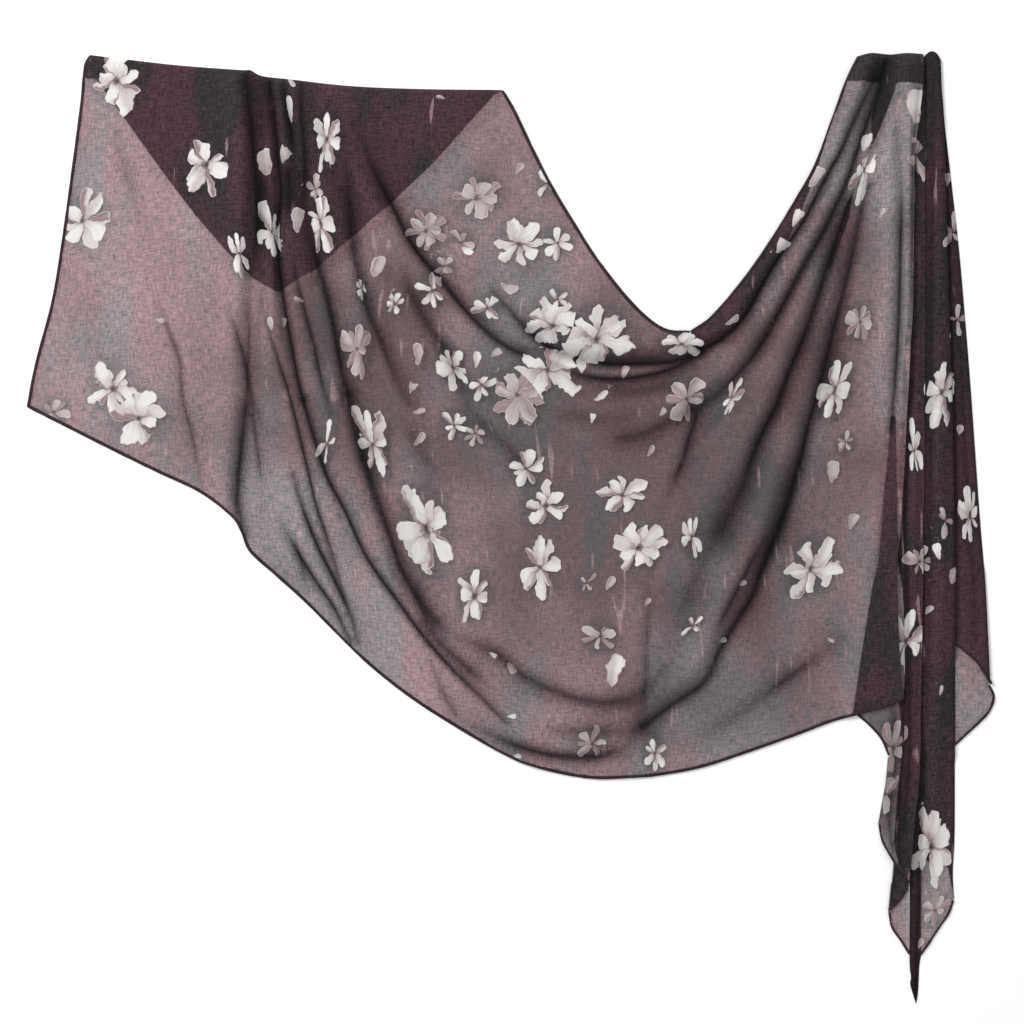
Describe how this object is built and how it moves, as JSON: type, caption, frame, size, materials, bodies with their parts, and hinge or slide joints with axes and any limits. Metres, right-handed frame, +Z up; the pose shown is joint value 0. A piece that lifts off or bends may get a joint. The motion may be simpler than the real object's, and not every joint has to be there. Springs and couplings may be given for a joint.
{
  "type": "hijab",
  "caption": "Sheer rectangular head scarf laid out flat, gathered in two places, one corner turned under and narrow tails beside it.",
  "frame": {"origin": "middle of the laid-out scarf's box, on the surface that it lies on", "axes": "+Z up off the surface, +Y towards the folded upper edge, +X towards the tails"},
  "size_m": [0.9668, 0.951, 0.0148],
  "materials": {
    "sheer_cloth": "sheer slubby plain weave, soft and matt",
    "doubled_cloth": "the same cloth where it lies double, so darker and less sheer",
    "rolled_hem": "narrow rolled hem, dark plum, matt"
  },
  "bodies": {
    "root": {"corner_flap": "doubled_cloth", "turned_top": "doubled_cloth", "tail_under": "sheer_cloth", "tail_corner": "doubled_cloth", "tail_left": "sheer_cloth", "tail_panel": "doubled_cloth", "tail_lobe": "sheer_cloth", "tail_outside": "doubled_cloth", "tail_main": "doubled_cloth", "front_outer": "sheer_cloth", "front_swag": "sheer_cloth", "front_gather": "sheer_cloth", "hem_corner": "rolled_hem", "hem_flap_inner": "rolled_hem", "hem_flap_outer": "rolled_hem", "hem_left": "rolled_hem", "hem_left_lobe": "rolled_hem", "hem_lobe": "rolled_hem", "hem_lower_inner": "rolled_hem", "hem_lower_middle": "rolled_hem", "hem_lower_outer": "rolled_hem", "hem_main": "rolled_hem", "hem_outside": "rolled_hem", "hem_scoop_inner": "rolled_hem", "hem_scoop_outer": "rolled_hem", "hem_side": "rolled_hem", "hem_under": "rolled_hem"}
  },
  "joints": []
}
